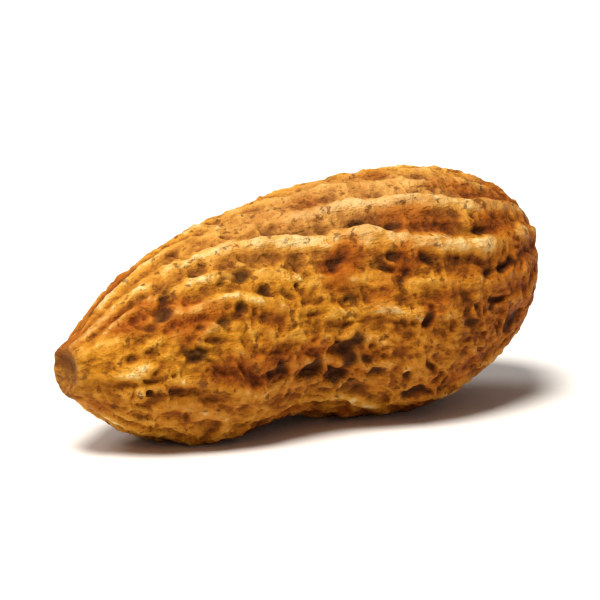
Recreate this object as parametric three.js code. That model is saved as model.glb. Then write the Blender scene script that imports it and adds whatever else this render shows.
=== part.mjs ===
// One peanut in its shell: a dry, woody pod that grew as a single closed piece.
// It lies on its side along X, with the stem end at -X and the beak at +X.
// Millimetres, +Z up. The origin is on the resting plane, under the middle of the pod.

import * as THREE from 'three';

// Driving dimensions, in millimetres, degrees, or shares of the radius where a comment says so.
const POD_LENGTH = 40;
const STEM_END = { radius: 8.4, roundness: 2.0, rise: 0.5, swing: -1.2 };
const BEAK_END = { radius: 10.2, roundness: 2.3, rise: 0.3, swing: 1.2 };
const BEND_FROM = 5;                                     // the tips start to rise and swing here
const WAIST = { at: -2, halfWidth: 5.6, sides: 0.03, belly: 0.23 };   // sides and belly are shares
const BELLY_FACES = 241;                                 // from +Y towards +Z
const BEAK_POINT = { height: 0.6, halfWidth: 2.2 };      // a low point on the beak end
const STEM_STUB = { height: 0.9, halfWidth: 2.9 };       // the blunt stub where the stalk broke off
const RIBS = { count: 10, height: 0.4, firstAt: 13 };    // height from groove to crest
const REST_DEPTH = 0.45;                                 // how far the underside is flattened
const STATIONS = 46;
const STEPS_PER_RIB = 8;

const HALF_LENGTH = POD_LENGTH / 2;
const DOWN = 1.5 * Math.PI;
const radians = THREE.MathUtils.degToRad;
const clamp = THREE.MathUtils.clamp;
const bell = (distance, halfWidth) => Math.exp(-((distance / halfWidth) ** 2));
const flatBell = (distance, halfWidth) => Math.exp(-((distance / halfWidth) ** 4));

// The whole pod without its waist: a rounded ellipse, slimmer at the stem end than at the beak.
function fullRadius(x) {
  const taper = THREE.MathUtils.lerp(STEM_END.radius, BEAK_END.radius, 0.5 + x / POD_LENGTH);
  const roundness = x < 0 ? STEM_END.roundness : BEAK_END.roundness;
  const along = Math.abs(x / HALF_LENGTH) ** roundness;
  return taper * clamp(1 - along, 0, 1) ** (1 / roundness);
}

// The waist draws in at the two sides and most on the belly, and leaves the back full.
function smoothRadius(x, angle) {
  const belly = 0.5 + 0.5 * Math.cos(angle - radians(BELLY_FACES));
  const drawn = WAIST.sides * Math.cos(angle) ** 2 + WAIST.belly * belly;
  return fullRadius(x) * (1 - drawn * bell(x - WAIST.at, WAIST.halfWidth));
}

// Long ribs with rounded crests. They run out towards both tips.
function ribHeight(along, angle) {
  const wave = Math.cos(RIBS.count * (angle - radians(RIBS.firstAt)));
  return 0.5 * RIBS.height * wave * Math.sin(Math.PI * along) ** 0.7;
}

// How far the middle of a section has moved sideways and up, where the pod bends near its tips.
function bend(x) {
  const end = x < 0 ? STEM_END : BEAK_END;
  const share = clamp((Math.abs(x) - BEND_FROM) / (HALF_LENGTH - BEND_FROM), 0, 1) ** 2;
  return { y: end.swing * share, z: end.rise * share };
}

// Lowest point of the smooth underside between two stations, before the pod is settled.
function lowestBetween(from, to) {
  const samples = Array.from({ length: 200 }, (_, i) => from + ((to - from) * i) / 199);
  const points = samples.map((x) => ({ x, z: bend(x).z - smoothRadius(x, DOWN) }));
  return points.reduce((low, point) => (point.z < low.z ? point : low));
}

// Both lobes rest on the plane: the pod is lowered along the line through their lowest points.
const stemRest = lowestBetween(-0.8 * HALF_LENGTH, WAIST.at);
const beakRest = lowestBetween(WAIST.at, 0.8 * HALF_LENGTH);
const restSlope = (beakRest.z - stemRest.z) / (beakRest.x - stemRest.x);
const settled = (x) => -(stemRest.z + restSlope * (x - stemRest.x)) - REST_DEPTH;

// A point of the skin. `along` runs from 0 at the stem end to 1 at the beak.
function skinPoint(along, angle) {
  const x = -HALF_LENGTH * Math.cos(Math.PI * along);
  const radius = smoothRadius(x, angle) + ribHeight(along, angle);
  const stub = along < 0.5 ? STEM_STUB.height * flatBell(radius, STEM_STUB.halfWidth) : 0;
  const point = along > 0.5 ? BEAK_POINT.height * bell(radius, BEAK_POINT.halfWidth) : 0;
  const middle = bend(x);
  const z = middle.z + settled(x) + radius * Math.sin(angle);
  return [x - stub + point, middle.y + radius * Math.cos(angle), Math.max(z, 0)];
}

// Rings of skin points from the stem end to the beak, closed by one point at each tip.
function podGeometry() {
  const steps = RIBS.count * STEPS_PER_RIB;
  const positions = [...skinPoint(0, 0)];
  for (let station = 1; station < STATIONS; station += 1) {
    for (let step = 0; step < steps; step += 1) {
      positions.push(...skinPoint(station / STATIONS, (2 * Math.PI * step) / steps));
    }
  }
  positions.push(...skinPoint(1, 0));

  const vertex = (station, step) => 1 + (station - 1) * steps + (step % steps);
  const beakTip = 1 + (STATIONS - 1) * steps;
  const faces = [];
  for (let step = 0; step < steps; step += 1) {
    faces.push(0, vertex(1, step + 1), vertex(1, step));
    for (let station = 1; station < STATIONS - 1; station += 1) {
      const [a, b] = [vertex(station, step), vertex(station, step + 1)];
      const [c, d] = [vertex(station + 1, step), vertex(station + 1, step + 1)];
      faces.push(a, b, d, a, d, c);
    }
    faces.push(beakTip, vertex(STATIONS - 1, step), vertex(STATIONS - 1, step + 1));
  }

  const geometry = new THREE.BufferGeometry();
  geometry.setAttribute('position', new THREE.Float32BufferAttribute(positions, 3));
  geometry.setIndex(faces);
  geometry.computeBoundingBox();
  const middle = geometry.boundingBox.getCenter(new THREE.Vector3());
  geometry.translate(-middle.x, -middle.y, 0);
  geometry.computeVertexNormals();
  return geometry;
}

// Dry fibrous shell: golden brown, dull, with no metal in it.
function shellMaterial() {
  return new THREE.MeshStandardMaterial({ color: 0xb9782f, roughness: 0.72, metalness: 0 });
}

const pod = new THREE.Mesh(podGeometry(), shellMaterial());
pod.name = 'peanut_pod';

const peanut = new THREE.Group();
peanut.add(pod);

export default peanut;
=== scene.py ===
"""A peanut in its shell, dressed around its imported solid. Metres, +Z up, the pod along X."""

import math

import bpy
import numpy as np
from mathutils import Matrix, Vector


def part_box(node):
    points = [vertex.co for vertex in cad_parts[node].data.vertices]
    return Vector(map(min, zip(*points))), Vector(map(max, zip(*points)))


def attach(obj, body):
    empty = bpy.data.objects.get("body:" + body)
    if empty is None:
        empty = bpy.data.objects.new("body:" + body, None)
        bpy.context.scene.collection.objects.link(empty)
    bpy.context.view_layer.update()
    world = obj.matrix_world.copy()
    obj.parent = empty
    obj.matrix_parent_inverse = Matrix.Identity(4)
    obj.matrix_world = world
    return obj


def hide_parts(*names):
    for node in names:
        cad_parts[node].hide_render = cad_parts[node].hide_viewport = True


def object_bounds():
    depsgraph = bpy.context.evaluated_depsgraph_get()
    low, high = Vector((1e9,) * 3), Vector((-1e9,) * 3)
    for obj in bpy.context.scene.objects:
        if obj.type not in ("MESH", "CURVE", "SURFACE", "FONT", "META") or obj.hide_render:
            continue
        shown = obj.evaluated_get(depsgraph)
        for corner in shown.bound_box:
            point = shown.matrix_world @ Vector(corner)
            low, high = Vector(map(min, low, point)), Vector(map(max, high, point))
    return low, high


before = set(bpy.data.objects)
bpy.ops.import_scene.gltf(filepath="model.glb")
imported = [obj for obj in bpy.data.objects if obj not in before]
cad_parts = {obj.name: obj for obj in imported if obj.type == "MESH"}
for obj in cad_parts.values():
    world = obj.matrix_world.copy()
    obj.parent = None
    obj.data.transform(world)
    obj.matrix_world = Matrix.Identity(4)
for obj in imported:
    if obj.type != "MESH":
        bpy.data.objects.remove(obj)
cad_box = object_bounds()


# ---------------------------------------------------------------------------------------------
# The pod
# A dry two-seeded husk of lignified fibre that grew in one piece, from the stub of its stalk at
# -X to its beak at +X. Its skin is one closed sheet, with ribs, a net of veins and pits in it.
# Lengths are in millimetres until the skin is fitted to the solid's box.

POD_LENGTH = 40
HALF_LENGTH = POD_LENGTH / 2
STEM_END = {"radius": 8.4, "roundness": 2.0, "rise": 0.5, "swing": -1.2}
BEAK_END = {"radius": 10.2, "roundness": 2.3, "rise": 0.3, "swing": 1.2}
BEND_FROM = 5
WAIST = {"at": -2, "half_width": 5.6, "sides": 0.03, "belly": 0.23}
BELLY_FACES = math.radians(241)
DOWN = math.radians(270)
REST_DEPTH = 0.3

STATIONS = 314
STEPS = 316


def bell(distance, half_width):
    """A bell curve: e to the minus square of distance over half width."""
    return np.exp(-((distance / half_width) ** 2))


def ease(value, low, high):
    """0 below low, 1 above high, and a smooth S between them."""
    t = np.clip((value - low) / (high - low), 0, 1)
    return t * t * (3 - 2 * t)


def full_radius(x):
    """The pod without its waist: a rounded ellipse whose radius grows from stem end to beak."""
    taper = STEM_END["radius"] + (BEAK_END["radius"] - STEM_END["radius"]) * (0.5 + x / POD_LENGTH)
    roundness = np.where(x < 0, STEM_END["roundness"], BEAK_END["roundness"])
    along = np.abs(x / HALF_LENGTH) ** roundness
    return taper * np.clip(1 - along, 0, 1) ** (1 / roundness)


def smooth_radius(x, angle):
    """The full radius less a bell at the waist, deepest on the belly and shallow at the sides."""
    belly = 0.5 + 0.5 * np.cos(angle - BELLY_FACES)
    drawn = WAIST["sides"] * np.cos(angle) ** 2 + WAIST["belly"] * belly
    return full_radius(x) * (1 - drawn * bell(x - WAIST["at"], WAIST["half_width"]))


def bend(x):
    """Sideways and upward shift of a section: the square of how far x is into the bent end."""
    share = np.clip((np.abs(x) - BEND_FROM) / (HALF_LENGTH - BEND_FROM), 0, 1) ** 2
    swing = np.where(x < 0, STEM_END["swing"], BEAK_END["swing"]) * share
    rise = np.where(x < 0, STEM_END["rise"], BEAK_END["rise"]) * share
    return swing, rise


def settled(x):
    """The straight line that brings the lowest point of each lobe a little under the plane."""
    under = []
    for low, high in ((-0.8 * HALF_LENGTH, WAIST["at"]), (WAIST["at"], 0.8 * HALF_LENGTH)):
        samples = np.linspace(low, high, 200)
        depth = bend(samples)[1] - smooth_radius(samples, DOWN)
        under.append((samples[depth.argmin()], depth.min()))
    (stem_x, stem_z), (beak_x, beak_z) = under
    return -(stem_z + (beak_z - stem_z) / (beak_x - stem_x) * (x - stem_x)) - REST_DEPTH


def even_stations(count):
    """Stations along X that are evenly spaced along the skin, and their running lengths."""
    fine = -HALF_LENGTH * np.cos(np.linspace(0, math.pi, 4001))
    steps = np.hypot(np.diff(fine), np.diff(full_radius(fine)))
    running = np.concatenate([[0], np.cumsum(steps)])
    wanted = np.linspace(0, running[-1], count + 2)[1:-1]
    return np.interp(wanted, running, fine), wanted


station_x, station_s = even_stations(STATIONS)
x = station_x[:, None]
angle = np.linspace(0, 2 * math.pi, STEPS, endpoint=False)[None, :]
smooth = smooth_radius(x, angle)
section_y, section_z = bend(x)
section_z = section_z + settled(x)
smooth_points = np.stack(
    [x + 0 * smooth, section_y + smooth * np.cos(angle), section_z + smooth * np.sin(angle)], axis=-1
)


def plane_waves(points, wavelength, seed, count=28):
    """Smooth lumps of about one wavelength: plane waves in random directions, summed and scaled
    to a spread of one. Each seed gives its own lumps."""
    draws = np.random.default_rng(seed)
    heading = draws.normal(size=(count, 3))
    heading /= np.linalg.norm(heading, axis=1, keepdims=True)
    pace = 2 * math.pi / (wavelength * draws.uniform(0.7, 1.4, count))
    phase = draws.uniform(0, 2 * math.pi, count)
    total = np.zeros(points.shape[:-1])
    for one_heading, one_pace, one_phase in zip(heading, pace, phase):
        total += np.sin(points @ one_heading * one_pace + one_phase)
    return total / math.sqrt(count / 2)


# Ribs run from stalk to beak, at each whole value of rib_place: the angle counted in rib gaps,
# twisted along the pod and pushed about by slow lumps. Weak ribs run between them.
RIBS = 10
RIB_GAP = 2 * math.pi / RIBS
FIRST_RIB = math.radians(-4)
RIB_TWIST = {"from": -16, "to": 16, "by": math.radians(46)}
RIB_WANDER = math.radians(2.6)
RIB_HALF_WIDTH = 0.55
RIB_HEIGHT = 0.36
RIB_SWELL = 0.45
BOLD_RIB = 3

# These four seeds aren't arbitrary. Each was picked by a search through many, for lumps that lead
# the boldest ribs along this pod's own paths and swell and fade them roughly as its own do.
WANDER_SEED = 50
SMALL_WANDER_SEED = 22
MAIN_SWELL_SEED = 29693
WEAK_SWELL_SEED = 28149

wander = plane_waves(smooth_points, 14, WANDER_SEED)
wander = wander + 0.4 * plane_waves(smooth_points, 4.5, SMALL_WANDER_SEED)
twisted = FIRST_RIB + RIB_TWIST["by"] * ease(x, RIB_TWIST["from"], RIB_TWIST["to"])
rib_place = (angle - twisted + RIB_WANDER * wander) / RIB_GAP
gap_width = RIB_GAP * smooth
tip_fade = ease(gap_width, 0.4, 3.2)
stretched = smooth_points * [0.45, 1, 1]


def patch(at, half_length, facing, half_angle):
    """1 at one place on the skin, falling away as a bell along the pod and a bell around it."""
    around = np.angle(np.exp(1j * (angle - math.radians(facing))))
    return bell(x - at, half_length) * bell(around, math.radians(half_angle))


# The ribs are worn down on the belly side of the large lobe, along the back, and here and there.
# Soil has eaten the skin at the waist and in two smaller places.
worn = patch(10, 11, 197, 34) + 0.8 * patch(-10, 6, 225, 25) + 0.6 * patch(-3, 6, 170, 20)
worn += 0.8 * patch(0, 13, 93, 13) + 0.75 * patch(-14, 5.5, 103, 11) + 0.7 * patch(-6, 4.5, 99, 8)
worn = np.clip(worn + 0.6 * patch(-9, 8, 20, 40) + 0.7 * patch(-4, 4.5, 153, 12), 0, 1)
eaten = patch(-1.5, 5.5, 199, 19) + 0.7 * patch(7, 2.5, 225, 12) + 0.7 * patch(5, 5, 320, 20)
eaten = np.clip(eaten, 0, 1)


def rib_crests(offset, half_width, strength, seed):
    """Rounded crests at whole values of rib_place less the offset: a bell across each rib, with
    its own strength, which swells and fades along the rib. The grooves lie beside the crests."""
    place = rib_place - offset
    distance = np.abs(place - np.round(place)) * gap_width
    width = np.minimum(half_width, 0.22 * gap_width + 0.02)
    swell = np.clip(1 + RIB_SWELL * plane_waves(stretched, 3.4, seed), 0.1, 1.6)
    own = strength[np.round(place).astype(int) % RIBS] * swell
    return own * bell(distance, width), own * bell(distance - 1.9 * width, 0.7 * width)


# Each rib has its own strength. The bold one and its neighbours, which stand out, are set one by one.
strengths = np.random.default_rng(3)
main_strength = strengths.uniform(0.6, 1.0, RIBS)
main_strength[BOLD_RIB - 1:BOLD_RIB + 4] = 0.5, 1.3, 1.05, 0.7, 0.55
weak_strength = strengths.uniform(0.1, 0.65, RIBS)
weak_strength[BOLD_RIB - 1:BOLD_RIB + 3] = 1.1, 0.6, 0.5, 0.4
main_rib, main_groove = rib_crests(0, RIB_HALF_WIDTH, main_strength, MAIN_SWELL_SEED)
weak_rib, weak_groove = rib_crests(0.5, 0.85 * RIB_HALF_WIDTH, weak_strength, WEAK_SWELL_SEED)
unworn = 1 - 0.85 * worn
rib = np.maximum(main_rib, weak_rib) * unworn
groove = np.maximum(main_groove, 0.8 * weak_groove) * (1 - np.clip(rib, 0, 1)) * unworn

# The nets are drawn on a skin that is pushed about by small lumps, so no vein is straight.
PUSH = 0.3
push_across = PUSH * plane_waves(smooth_points, 2.6, 6) / np.maximum(gap_width, 1)
push_along = PUSH * plane_waves(smooth_points, 2.6, 7)


def vein_net(columns, row_length, jitter, seed):
    """Cells of an uneven grid on the skin: each point's distance to the wall between its cell and
    the next, and the cell's own random number. Columns run round the pod in shares of a rib gap,
    so they close on themselves. Rows run along it."""
    rows = int(station_s[-1] / row_length) + 8
    table = np.random.default_rng(seed).uniform(0, 1, (RIBS * columns, rows, 3))
    across = (rib_place + push_across) * columns
    along = (station_s[:, None] + push_along) / row_length + 3
    column, row = np.floor(across).astype(int), np.floor(along).astype(int)
    nearest, second = np.full(across.shape, 1e9), np.full(across.shape, 1e9)
    number = np.zeros(across.shape)
    for d_column in (-2, -1, 0, 1, 2):
        for d_row in (-2, -1, 0, 1, 2):
            cell = table[(column + d_column) % (RIBS * columns), (row + d_row) % rows]
            gone_across = column + d_column + 0.5 + jitter * (cell[..., 0] - 0.5) - across
            gone_along = row + d_row + 0.5 + jitter * (cell[..., 1] - 0.5) - along
            away = np.hypot(gone_across * gap_width / columns, gone_along * row_length)
            closer = away < nearest
            second = np.where(closer, nearest, np.minimum(second, away))
            number = np.where(closer, cell[..., 2], number)
            nearest = np.where(closer, away, nearest)
    return 0.5 * (second - nearest), number


# Two nets of veins: cells of about 2.6 mm between the ribs, and cells of about 1.1 mm in them.
# Each cell is sunk between its veins, and its own random number says how deep: most of them little.
# Where the skin is eaten, more of them are deep, and their walls are steeper.
wide_wall, wide_number = vein_net(columns=2, row_length=2.6, jitter=0.68, seed=8)
small_wall, small_number = vein_net(columns=5, row_length=1.1, jitter=0.8, seed=9)
wide_vein = 1 - ease(wide_wall, 0, 0.5)
small_vein = 1 - ease(small_wall, 0, 0.27)
wide_sink = 0.04 + (0.24 + 0.1 * eaten) * wide_number ** (3 - 2 * eaten)
wide_sink = wide_sink * ease(wide_wall, 0.08, 0.75 - 0.35 * eaten)
small_sink = 0.02 + (0.26 + 0.1 * eaten) * small_number ** (3 - 2 * eaten)
small_sink = small_sink * ease(small_wall, 0.03, 0.36)
open_skin = 1 - 0.85 * np.clip(rib, 0, 1)
sunk = (wide_sink + small_sink) * open_skin * tip_fade * (1 - 0.5 * patch(0, 13, 93, 14))

# The deepest holes have ragged edges: the station and facing of each, in degrees, its half width,
# and how many times as long as wide it is. They are placed as on this pod's known side. The
# last four, on the side that isn't known, are made up.
HOLE_DEPTH = 0.48
DEEP_HOLES = (
    (-6.3, 191, 0.75, 1.1), (-3.1, 199, 1.15, 0.9), (0, 185, 0.7, 1.7), (-0.1, 197, 0.6, 1.2),
    (-0.6, 208, 0.6, 1.3), (2, 205, 0.5, 1.2), (6, 223, 0.9, 1.1), (-8.5, 132, 0.75, 1.1),
    (-14.8, 140, 0.7, 1.2), (-14.2, 125, 0.45, 1.2), (-7.3, 144, 0.4, 1.2), (-9.2, 148, 0.4, 1.2),
    (-10.8, 155, 0.4, 2.6), (-13, 171, 0.6, 2.2), (3.1, 145, 0.5, 1.2), (-1, 139, 0.45, 1.6),
    (-0.5, 159, 0.4, 1.5), (3.6, 158, 0.45, 1.3), (5.5, 179, 0.6, 1.0), (13, 165, 0.45, 2.4),
    (4.2, 129, 0.5, 1.5), (1.6, 122, 0.35, 2.0), (11.4, 143, 0.4, 2.0), (9.5, 187, 0.45, 2.0),
    (5, 20, 0.45, 1.4), (-9, 352, 0.45, 1.3), (12, 330, 0.4, 1.6), (9, 296, 0.4, 1.4),
)
ragged = 1 + 0.3 * plane_waves(smooth_points, 1.5, 10, 40)
hole = np.zeros(smooth.shape)
for hole_x, facing, half_width, longer in DEEP_HOLES:
    around = np.angle(np.exp(1j * (angle - math.radians(facing)))) * smooth
    away = np.hypot((x - hole_x) / longer, around) / half_width
    hole = np.maximum(hole, (0.65 + 0.35 * half_width) * (1 - ease(away * ragged, 0.2, 1.4)))
sunk = sunk * (1 - 0.7 * hole) + HOLE_DEPTH * hole
# Pits and grooves darken the deeper they are sunk: soil, and painted shade in the recesses.
pit_soil_and_shade = ease(sunk + 0.1 * groove, 0.1, 0.44)

# Relief over the smooth form: low lumps, fine threads that run with the twisted ribs, grain, veins
# and ribs stand up from it, and the cells and holes are sunk in it.
lumps = 0.07 * plane_waves(smooth_points, 9, 11) + 0.05 * plane_waves(smooth_points, 3.2, 12)
untwisted = np.stack(
    [0.25 * x + 0 * smooth, smooth * np.cos(angle - twisted), smooth * np.sin(angle - twisted)], axis=-1
)
threads = 1 - np.minimum(np.abs(plane_waves(untwisted, 1.5, 13, 40)), 1)
grain = 0.03 * plane_waves(smooth_points, 0.75, 14, 40)
veins = (0.12 * wide_vein + 0.08 * small_vein) * open_skin + (0.07 + 0.05 * worn) * threads ** 2
relief = RIB_HEIGHT * (0.3 + 0.7 * tip_fade) * (rib - 0.4 * groove)
relief += tip_fade * (veins + lumps + grain) - sunk
relief -= relief.mean()


def local_mean(values, reach):
    """The mean over a square of the grid that reaches so many cells each way: a running sum along
    each direction, which wraps round the pod and repeats its last row at the ends."""
    wide = np.pad(values, ((reach, reach), (0, 0)), mode="edge")
    wide = np.pad(wide, ((0, 0), (reach, reach)), mode="wrap")
    sums = np.pad(wide.cumsum(axis=0).cumsum(axis=1), ((1, 0), (1, 0)))
    side = 2 * reach + 1
    total = sums[side:, side:] - sums[:-side, side:] - sums[side:, :-side] + sums[:-side, :-side]
    return total / side ** 2


radius = smooth + relief
pod_points = np.stack(
    [x + 0 * smooth, section_y + radius * np.cos(angle), section_z + radius * np.sin(angle)], axis=-1
)

# Ends: the stalk broke off a blunt stub with a raised rim and a hollow end. The beak is a low point.
STUB = {"height": 0.9, "half_width": 2.9}
RIM = {"height": 0.45, "at": 1.8, "half_width": 0.45}
HOLLOW = {"depth": 0.8, "half_width": 1.1}
POINT = {"height": 0.6, "half_width": 2.2}
stub = STUB["height"] * np.exp(-((smooth / STUB["half_width"]) ** 4))
stub += RIM["height"] * bell(smooth - RIM["at"], RIM["half_width"])
stub -= HOLLOW["depth"] * bell(smooth, HOLLOW["half_width"])
stub *= 1 + 0.07 * plane_waves(pod_points, 2.2, 15)
pod_points[..., 0] += np.where(x < 0, -stub, POINT["height"] * bell(smooth, POINT["half_width"]))

tips = np.array([
    [-HALF_LENGTH - STUB["height"] + HOLLOW["depth"], *pod_points[0, :, 1:].mean(axis=0)],
    [HALF_LENGTH + POINT["height"], *pod_points[-1, :, 1:].mean(axis=0)],
])
pod_vertices = np.concatenate([pod_points.reshape(-1, 3), tips])
pod_vertices[:, 2] = np.maximum(pod_vertices[:, 2], 0)

# The skin fills the solid's own box, in metres: each axis is stretched by the little that it differs.
box_low, box_high = (np.array(corner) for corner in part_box("peanut_pod"))
skin_low, skin_high = pod_vertices.min(axis=0), pod_vertices.max(axis=0)
pod_vertices = box_low + (pod_vertices - skin_low) * (box_high - box_low) / (skin_high - skin_low)


def closed_grid_faces(rows, columns):
    """Quads of a grid that closes on itself sideways, and a fan of triangles at each end."""
    place = np.arange(rows * columns).reshape(rows, columns)
    beside = np.roll(place, -1, axis=1)
    quads = np.stack([place[:-1], beside[:-1], beside[1:], place[1:]], axis=-1).reshape(-1, 4)
    first_tip = np.full(columns, rows * columns)
    stem_fan = np.stack([first_tip, beside[0], place[0]], axis=-1)
    beak_fan = np.stack([first_tip + 1, place[-1], beside[-1]], axis=-1)
    return quads, np.concatenate([stem_fan, beak_fan])


def rolled_out(rows, columns):
    """Where each face corner of the closed grid lies when the skin is rolled out flat: its row
    share across and its column share up. A tip lies midway between its face's two neighbours."""
    row, column = np.meshgrid(np.arange(rows - 1), np.arange(columns), indexing="ij")
    across = np.stack([row, row, row + 1, row + 1], axis=-1) + 1
    up = np.stack([column, column + 1, column + 1, column], axis=-1)
    quads = np.stack([across / (rows + 1), up / columns], axis=-1).reshape(-1, 2)
    side = np.arange(columns)
    edge = np.ones(columns)
    stem_fan = np.stack([0 * edge, side + 0.5, edge, side + 1, edge, side], axis=-1)
    beak_fan = np.stack([(rows + 1) * edge, side + 0.5, rows * edge, side, rows * edge, side + 1], axis=-1)
    fans = np.concatenate([stem_fan, beak_fan]).reshape(-1, 2) / [rows + 1, columns]
    return np.concatenate([quads, fans])


def mesh_of(name, vertices, quads, triangles):
    """A mesh object from arrays of vertices, quads and triangles, smooth all over."""
    mesh = bpy.data.meshes.new(name)
    corners = np.concatenate([quads.ravel(), triangles.ravel()])
    sides = np.concatenate([np.full(len(quads), 4), np.full(len(triangles), 3)])
    starts = np.concatenate([[0], np.cumsum(sides)[:-1]])
    mesh.vertices.add(len(vertices))
    mesh.vertices.foreach_set("co", vertices.astype(np.float32).ravel())
    mesh.loops.add(len(corners))
    mesh.loops.foreach_set("vertex_index", corners.astype(np.int32))
    mesh.polygons.add(len(sides))
    mesh.polygons.foreach_set("loop_start", starts.astype(np.int32))
    mesh.polygons.foreach_set("loop_total", sides.astype(np.int32))
    mesh.update(calc_edges=True)
    mesh.shade_smooth()
    made = bpy.data.objects.new(name, mesh)
    bpy.context.scene.collection.objects.link(made)
    return made


pod_quads, pod_triangles = closed_grid_faces(STATIONS, STEPS)
pod = mesh_of("peanut_shell", pod_vertices, pod_quads, pod_triangles)
flat_map = pod.data.uv_layers.new(name="OFBake")
flat_map.data.foreach_set("uv", rolled_out(STATIONS, STEPS).astype(np.float32).ravel())


def point_layer(made, name, values, at_tips):
    """A number at each vertex for the material to read: the grid's values, then one for each tip."""
    layer = made.data.attributes.new(name, "FLOAT", "POINT")
    layer.data.foreach_set("value", np.append(values.ravel(), at_tips).astype(np.float32))


# The material reads how far the skin is a crest, lies in pits (soil, with painted shade in their depth),
# carries stains or painted shade, is paled by a painted highlight along the top, or is the fibre of the
# broken end. A crest is a rib, or stands proud of the skin within 1.5 mm of it.
proud = relief - local_mean(relief, 9)
# A painted highlight along the top and upper front of the pod, where the overhead light falls: it pales
# the skin there and lifts its crests a little.
painted_top_highlight = np.clip(patch(6, 15, 115, 20) + 0.9 * patch(-1, 10, 94, 20), 0, 1.2)
crest = 0.6 * ease(proud, -0.2, 0.22) + 0.4 * np.clip(rib, 0, 1) + 0.12 * painted_top_highlight
stain_and_painted_shade = ease(0.8 * plane_waves(smooth_points, 15, 16) + plane_waves(smooth_points, 4.5, 17), -0.5, 2.0)
# Where soil ate the skin it carries stains. The patches on the lower front of the beak end, on its tip and
# along the bottom of the stem lobe are painted shade.
stain_and_painted_shade = np.maximum(stain_and_painted_shade, 0.9 * eaten + patch(15, 9, 188, 42) + 0.6 * patch(-13, 6, 212, 16))
stain_and_painted_shade = np.clip(stain_and_painted_shade + 0.6 * patch(20, 5, 140, 55), 0, 1)
broken_end = (x < 0) * (1 - ease(smooth, 1.2, 2.6))
# The hollow in the broken end is darkened like the pits: painted shade in it.
pit_soil_and_shade = np.maximum(pit_soil_and_shade, 0.5 * (x < 0) * bell(smooth, 1.1))
point_layer(pod, "crest", crest, [0.2, 0.4])
point_layer(pod, "pit_soil_and_shade", pit_soil_and_shade, [0.5, 0.1])
point_layer(pod, "stain_and_painted_shade", stain_and_painted_shade, [0.5, 0.9])
point_layer(pod, "painted_top_highlight", 0.6 * painted_top_highlight, [0, 0])
point_layer(pod, "broken_end", broken_end, [1, 0])


def linear(hex_colour):
    """An sRGB hex colour as linear red, green, blue and alpha."""
    shares = [int(hex_colour[i:i + 2], 16) / 255 for i in (1, 3, 5)]
    return tuple(s / 12.92 if s <= 0.04045 else ((s + 0.055) / 1.055) ** 2.4 for s in shares) + (1.0,)


def add_node(tree, kind, settings=None, links=None):
    """A node of one kind, with its own settings, and its inputs set or linked by name or number."""
    node = tree.nodes.new(kind)
    for key, value in (settings or {}).items():
        setattr(node, key, value)
    for key, value in (links or {}).items():
        if isinstance(value, bpy.types.NodeSocket):
            tree.links.new(value, node.inputs[key])
        else:
            node.inputs[key].default_value = value
    return node


# Dry peanut husk: matte lignified fibre, dusty. Crests are pale straw, the skin between them is
# golden brown, and soil and tannin darken the pits, with painted shade making the deepest near black.
husk = bpy.data.materials.new("dry_fibrous_husk")
husk.use_nodes = True
tree = husk.node_tree
tree.nodes.clear()

place = add_node(tree, "ShaderNodeTexCoord").outputs["Object"]
crest_at = add_node(tree, "ShaderNodeAttribute", {"attribute_name": "crest"}).outputs["Fac"]
pit_soil_and_shade_at = add_node(tree, "ShaderNodeAttribute", {"attribute_name": "pit_soil_and_shade"}).outputs["Fac"]
stain_and_shade_at = add_node(tree, "ShaderNodeAttribute", {"attribute_name": "stain_and_painted_shade"}).outputs["Fac"]
painted_top_highlight_at = add_node(tree, "ShaderNodeAttribute", {"attribute_name": "painted_top_highlight"}).outputs["Fac"]
broken_at = add_node(tree, "ShaderNodeAttribute", {"attribute_name": "broken_end"}).outputs["Fac"]

# Sizes in metres: fibres 0.25 mm across and eight times as long, mottling 1.1 mm and 0.45 mm
# across, and specks of soil 0.4 mm across. A noise has about two features in each unit of its scale.
FIBRE, MOTTLE, FINE, SPECK = 0.00025, 0.0011, 0.00045, 0.0004
along_pod = add_node(tree, "ShaderNodeMapping", links={"Vector": place, "Scale": (0.12, 1, 1)})
fibres = add_node(tree, "ShaderNodeTexNoise", links={
    "Vector": along_pod.outputs[0], "Scale": 0.5 / FIBRE, "Detail": 4, "Roughness": 0.6,
})
mottle = add_node(tree, "ShaderNodeTexNoise", links={
    "Vector": place, "Scale": 0.5 / MOTTLE, "Detail": 5, "Roughness": 0.65,
})
fine = add_node(tree, "ShaderNodeTexNoise", links={
    "Vector": place, "Scale": 0.5 / FINE, "Detail": 3, "Roughness": 0.6,
})
specks = add_node(tree, "ShaderNodeTexNoise", links={
    "Vector": place, "Scale": 0.5 / SPECK, "Detail": 3, "Roughness": 0.6,
})

# How pale the husk is: 0.25 in a hollow and 0.85 on a crest, and the noises swing it from there.
pale = add_node(tree, "ShaderNodeMath", {"operation": "MULTIPLY_ADD"}, {0: crest_at, 1: 0.62, 2: -0.87})
for noise, weight in ((mottle, 1.0), (fine, 0.7), (fibres, 0.5)):
    pale = add_node(tree, "ShaderNodeMath", {"operation": "MULTIPLY_ADD"}, {
        0: noise.outputs["Fac"], 1: weight, 2: pale.outputs[0],
    })

husk_colour = add_node(tree, "ShaderNodeValToRGB", links={"Fac": pale.outputs[0]})
stops = husk_colour.color_ramp.elements
stops[0].color, stops[1].color = linear("#582C03"), linear("#F2D696")
for share, colour in ((0.25, "#8F5209"), (0.5, "#BD7A16"), (0.75, "#D49836")):
    stops.new(share).color = linear(colour)

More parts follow.
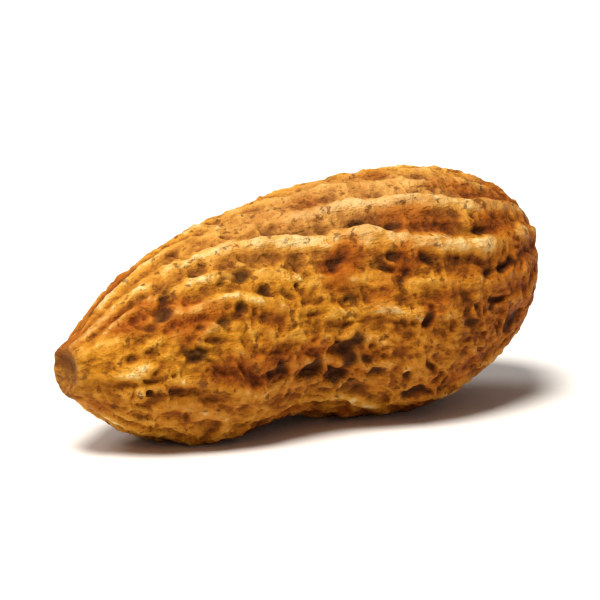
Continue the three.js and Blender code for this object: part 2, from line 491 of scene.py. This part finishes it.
# The painted highlight pales the top and upper front where the skin is pale already, and soil, stains with
# painted shade, pits with painted shade and the broken end go over that.
highlight_share = add_node(tree, "ShaderNodeMath", {"operation": "MULTIPLY", "use_clamp": True}, {
    0: painted_top_highlight_at, 1: pale.outputs[0],
})
highlighted = add_node(tree, "ShaderNodeMix", {"data_type": "RGBA"}, {
    "Factor": highlight_share.outputs[0], 6: husk_colour.outputs["Color"], 7: linear("#D4A668"),
})
stained_and_shaded = add_node(tree, "ShaderNodeMix", {"data_type": "RGBA", "blend_type": "MULTIPLY"}, {
    "Factor": stain_and_shade_at, 6: highlighted.outputs[2], 7: linear("#D8B27A"),
})
dark_speck = add_node(tree, "ShaderNodeMapRange", links={
    "Value": specks.outputs["Fac"], "From Min": 0.35, "From Max": 0.42, "To Min": 0.7, "To Max": 0.0,
})
soiled = add_node(tree, "ShaderNodeMix", {"data_type": "RGBA"}, {
    "Factor": dark_speck.outputs[0], 6: stained_and_shaded.outputs[2], 7: linear("#5A2A04"),
})
# Pits go near black: soil, and painted shade in their depth.
pit_soil_and_shade_share = add_node(tree, "ShaderNodeMath", {"operation": "MULTIPLY"}, {0: pit_soil_and_shade_at, 1: 0.85})
pitted_and_shaded = add_node(tree, "ShaderNodeMix", {"data_type": "RGBA"}, {
    "Factor": pit_soil_and_shade_share.outputs[0], 6: soiled.outputs[2], 7: linear("#2A1202"),
})
broken_share = add_node(tree, "ShaderNodeMath", {"operation": "MULTIPLY"}, {0: broken_at, 1: 0.45})
weathered = add_node(tree, "ShaderNodeMix", {"data_type": "RGBA"}, {
    "Factor": broken_share.outputs[0], 6: pitted_and_shaded.outputs[2], 7: linear("#6A4523"),
})

rough = add_node(tree, "ShaderNodeMapRange", links={
    "Value": pale.outputs[0], "To Min": 0.9, "To Max": 0.55,
})
fibre_bump = add_node(tree, "ShaderNodeBump", links={
    "Height": fibres.outputs["Fac"], "Distance": 0.0003, "Strength": 1.0,
})
mottle_bump = add_node(tree, "ShaderNodeBump", links={
    "Height": mottle.outputs["Fac"], "Distance": 0.0007, "Strength": 1.0,
    "Normal": fibre_bump.outputs[0],
})
speck_bump = add_node(tree, "ShaderNodeBump", links={
    "Height": specks.outputs["Fac"], "Distance": 0.00025, "Strength": 1.0,
    "Normal": mottle_bump.outputs[0],
})
surface = add_node(tree, "ShaderNodeBsdfPrincipled", links={
    "Base Color": weathered.outputs[2], "Roughness": rough.outputs[0], "Normal": speck_bump.outputs[0],
    "IOR": 1.5, "Specular IOR Level": 0.14,
})
add_node(tree, "ShaderNodeOutputMaterial", links={"Surface": surface.outputs[0]})
pod.data.materials.append(husk)

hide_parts("peanut_pod")
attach(pod, "root")


# ---------------------------------------------------------------------------------------------
# The stage: a plain pale sheet, a long lens a third of a metre away, and soft studio light.

FLOOR_HALF = 4.0
floor_vertices = np.array([
    [-FLOOR_HALF, -FLOOR_HALF, 0], [FLOOR_HALF, -FLOOR_HALF, 0],
    [FLOOR_HALF, FLOOR_HALF, 0], [-FLOOR_HALF, FLOOR_HALF, 0],
])
floor = mesh_of("floor", floor_vertices, np.array([[0, 1, 2, 3]]), np.zeros((0, 3), int))
paper = bpy.data.materials.new("matte_white_paper")
paper.use_nodes = True
paper.node_tree.nodes["Principled BSDF"].inputs["Base Color"].default_value = linear("#EDEBE8")
paper.node_tree.nodes["Principled BSDF"].inputs["Roughness"].default_value = 0.9
floor.data.materials.append(paper)

middle = np.array([(low + high) / 2 for low, high in zip(*cad_box)])


def aimed_at_middle(made, azimuth, elevation, distance):
    """Stands an object off the pod's middle, at angles in degrees, and turns it to face it."""
    side, up = math.radians(azimuth), math.radians(elevation)
    back = np.array([math.sin(side) * math.cos(up), -math.cos(side) * math.cos(up), math.sin(up)])
    made.location = middle + back * distance
    made.rotation_euler = (math.pi / 2 - up, 0, side)
    bpy.context.scene.collection.objects.link(made)


lens = bpy.data.cameras.new("long_lens")
lens.lens = 300
lens.clip_start = 0.01
camera = bpy.data.objects.new("camera", lens)
aimed_at_middle(camera, -32, 13, 0.37)
bpy.context.scene.camera = camera


def soft_sun(name, azimuth, elevation, strength, spread, colour="#FFFFFF"):
    """A sun that lights the whole sheet alike, from a disc so many degrees across."""
    lamp = bpy.data.lights.new(name, "SUN")
    lamp.energy = strength
    lamp.angle = math.radians(spread)
    lamp.color = linear(colour)[:3]
    aimed_at_middle(bpy.data.objects.new(name, lamp), azimuth, elevation, 0.5)


soft_sun("overhead", -58, 65, 4.8, 24, "#FFFAF2")
soft_sun("back_light", 205, 50, 0.9, 30)

# The surroundings are white to look at, and light the pod only dimly, as a wide dark room would.
world = bpy.data.worlds.new("studio")
bpy.context.scene.world = world
world.use_nodes = True
sky = world.node_tree
seen = add_node(sky, "ShaderNodeLightPath").outputs["Is Camera Ray"]
brightness = add_node(sky, "ShaderNodeMapRange", links={"Value": seen, "To Min": 0.16, "To Max": 1.1})
sky.links.new(brightness.outputs[0], sky.nodes["Background"].inputs["Strength"])
sky.nodes["Background"].inputs["Color"].default_value = linear("#FAF8F6")
bpy.context.scene.view_settings.view_transform = "Standard"
